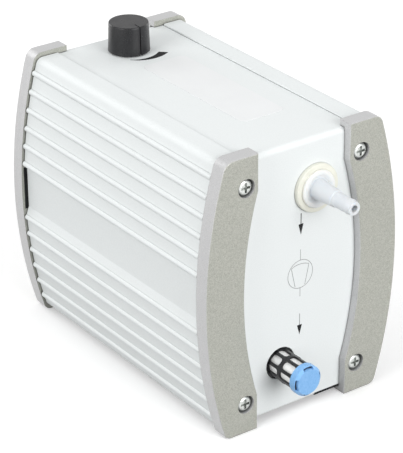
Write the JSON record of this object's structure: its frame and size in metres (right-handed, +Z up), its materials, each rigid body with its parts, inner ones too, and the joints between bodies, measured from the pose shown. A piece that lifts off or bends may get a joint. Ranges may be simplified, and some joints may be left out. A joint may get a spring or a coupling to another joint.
{
  "type": "diaphragm vacuum pump",
  "caption": "Bench diaphragm vacuum pump in a ribbed sound-damping case, with hose inlet, exhaust silencer, vacuum regulator knob and a motor-driven single-head diaphragm unit inside.",
  "frame": {"origin": "on the floor plane under the middle of the overall box, hose nozzle included", "axes": "+Z up, -Y out of the front panel, +X to the right when facing the front panel"},
  "size_m": [0.1282, 0.2188, 0.179],
  "materials": {
    "white_coat": "satin powder coat, slightly cool white",
    "hammer_grey": "speckled hammer finish",
    "black_steel": "satin black",
    "zinc": "zinc plated",
    "steel": "bright",
    "cream_plastic": "satin cream",
    "milky_plastic": "translucent bluish white",
    "black_plastic": "satin black",
    "blue_plastic": "light blue",
    "white_porous": "sintered white",
    "brass": "machined",
    "cast_alu": "as cast",
    "iron": "laminated steel",
    "copper": "enamelled wire",
    "rubber": "matt",
    "hose": "silicone hose",
    "grey_can": "drawn can"
  },
  "bodies": {
    "case": {"housing_cover": "white_coat", "side_extrusion_left": "white_coat", "side_extrusion_right": "white_coat", "base_plate": "black_steel", "bracket_front_left": "hammer_grey", "bracket_front_right": "hammer_grey", "bracket_rear_left": "hammer_grey", "bracket_rear_right": "hammer_grey", "bracket_screws_front": "zinc", "bracket_screws_rear": "zinc", "base_plate_screws": "zinc", "inlet_washer": "cream_plastic", "inlet_nozzle": "milky_plastic", "inlet_nut": "milky_plastic", "silencer_cage": "black_plastic", "silencer_element": "white_porous", "silencer_cap": "blue_plastic", "silencer_nut": "black_plastic", "regulator_valve": "brass", "regulator_lock_nut": "brass", "appliance_inlet": "black_plastic", "appliance_inlet_pins": "zinc", "switch_frame": "black_plastic", "internal_leads": "rubber", "stator_core": "iron", "stator_windings": "copper", "end_shield_front": "cast_alu", "end_shield_rear": "cast_alu", "bearing_front_outer": "steel", "bearing_rear_outer": "steel", "tie_bolts": "zinc", "crankcase": "cast_alu", "diaphragm": "rubber", "valve_plate": "cast_alu", "valve_flaps": "rubber", "head_cover": "cast_alu", "head_bolts": "zinc", "head_fittings": "brass", "suction_hose": "hose", "regulator_hose": "hose", "exhaust_hose": "hose", "cradle": "zinc", "rubber_mounts": "rubber", "mount_screws": "zinc", "capacitor": "grey_can", "capacitor_clip": "zinc"},
    "rotor": {"motor_shaft": "steel", "rotor_core": "iron", "cooling_fan": "black_plastic", "bearing_front_inner": "steel", "bearing_rear_inner": "steel", "eccentric": "steel", "rod_bearing_inner": "steel"},
    "rod": {"connecting_rod": "cast_alu", "rod_bearing_outer": "steel", "clamp_disc": "cast_alu", "clamp_screw": "zinc"},
    "regulator": {"regulator_knob": "black_plastic", "regulator_spindle": "steel"},
    "rocker": {"switch_rocker": "black_plastic"}
  },
  "joints": [
    {"name": "motor_spin", "type": "hinge", "parent": "case", "child": "rotor", "pos_m": [0, 0.0139, 0.0664], "axis": [0, 1, 0], "continuous": true},
    {"name": "rod_on_eccentric", "type": "hinge", "parent": "rotor", "child": "rod", "pos_m": [0, -0.0161, 0.0684], "axis": [0, 1, 0], "continuous": true, "deforming": ["diaphragm"]},
    {"name": "regulator_turn", "type": "hinge", "parent": "case", "child": "regulator", "pos_m": [-0.0009, 0.0802, 0.17], "axis": [0, 0, 1], "range_deg": [-270, 0]},
    {"name": "power_switch", "type": "hinge", "parent": "case", "child": "rocker", "pos_m": [0.0165, 0.1027, 0.027], "axis": [1, 0, 0], "range_deg": [-16, 0]}
  ],
  "couplings": [
    {"joint": "rod_on_eccentric", "follows": "motor_spin", "ratio": -1}
  ]
}
